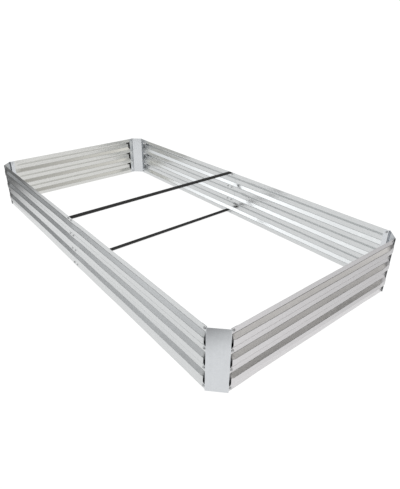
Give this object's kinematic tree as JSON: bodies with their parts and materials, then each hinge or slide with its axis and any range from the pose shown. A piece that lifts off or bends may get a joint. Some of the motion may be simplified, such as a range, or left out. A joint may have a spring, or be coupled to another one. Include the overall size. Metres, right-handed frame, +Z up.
{
  "type": "raised garden bed",
  "caption": "Low rectangular raised garden bed with ribbed galvanised sheet walls, cut corners of bent plate, an open top and bottom, and black tie rods across its middle.",
  "frame": {"origin": "on the ground under the middle of the bed", "axes": "+X along the long walls, +Y across the bed, +Z up"},
  "size_m": [2.4, 1.2, 0.3],
  "materials": {
    "wall_sheet": "galvanised, soft satin with faint spangle",
    "corner_plate": "galvanised plate, satin",
    "rod_coating": "black powder coat, satin",
    "zinc_fastener": "bright zinc plate"
  },
  "bodies": {
    "root": {"front_panel_left": "wall_sheet", "front_panel_right": "wall_sheet", "back_panel_left": "wall_sheet", "back_panel_right": "wall_sheet", "left_end_panel": "wall_sheet", "right_end_panel": "wall_sheet", "corner_plate_front_right": "corner_plate", "corner_plate_back_right": "corner_plate", "corner_plate_back_left": "corner_plate", "corner_plate_front_left": "corner_plate", "upper_tie_rod": "rod_coating", "lower_tie_rod": "rod_coating", "upper_tie_rod_plugs": "rod_coating", "lower_tie_rod_plugs": "rod_coating", "tie_rod_bolts": "zinc_fastener", "tie_rod_washers": "zinc_fastener", "corner_bolts_front_right": "zinc_fastener", "corner_nuts_front_right": "zinc_fastener", "corner_bolts_back_right": "zinc_fastener", "corner_nuts_back_right": "zinc_fastener", "corner_bolts_back_left": "zinc_fastener", "corner_nuts_back_left": "zinc_fastener", "corner_bolts_front_left": "zinc_fastener", "corner_nuts_front_left": "zinc_fastener", "seam_bolts_front": "zinc_fastener", "seam_nuts_front": "zinc_fastener", "seam_bolts_back": "zinc_fastener", "seam_nuts_back": "zinc_fastener"}
  },
  "joints": []
}
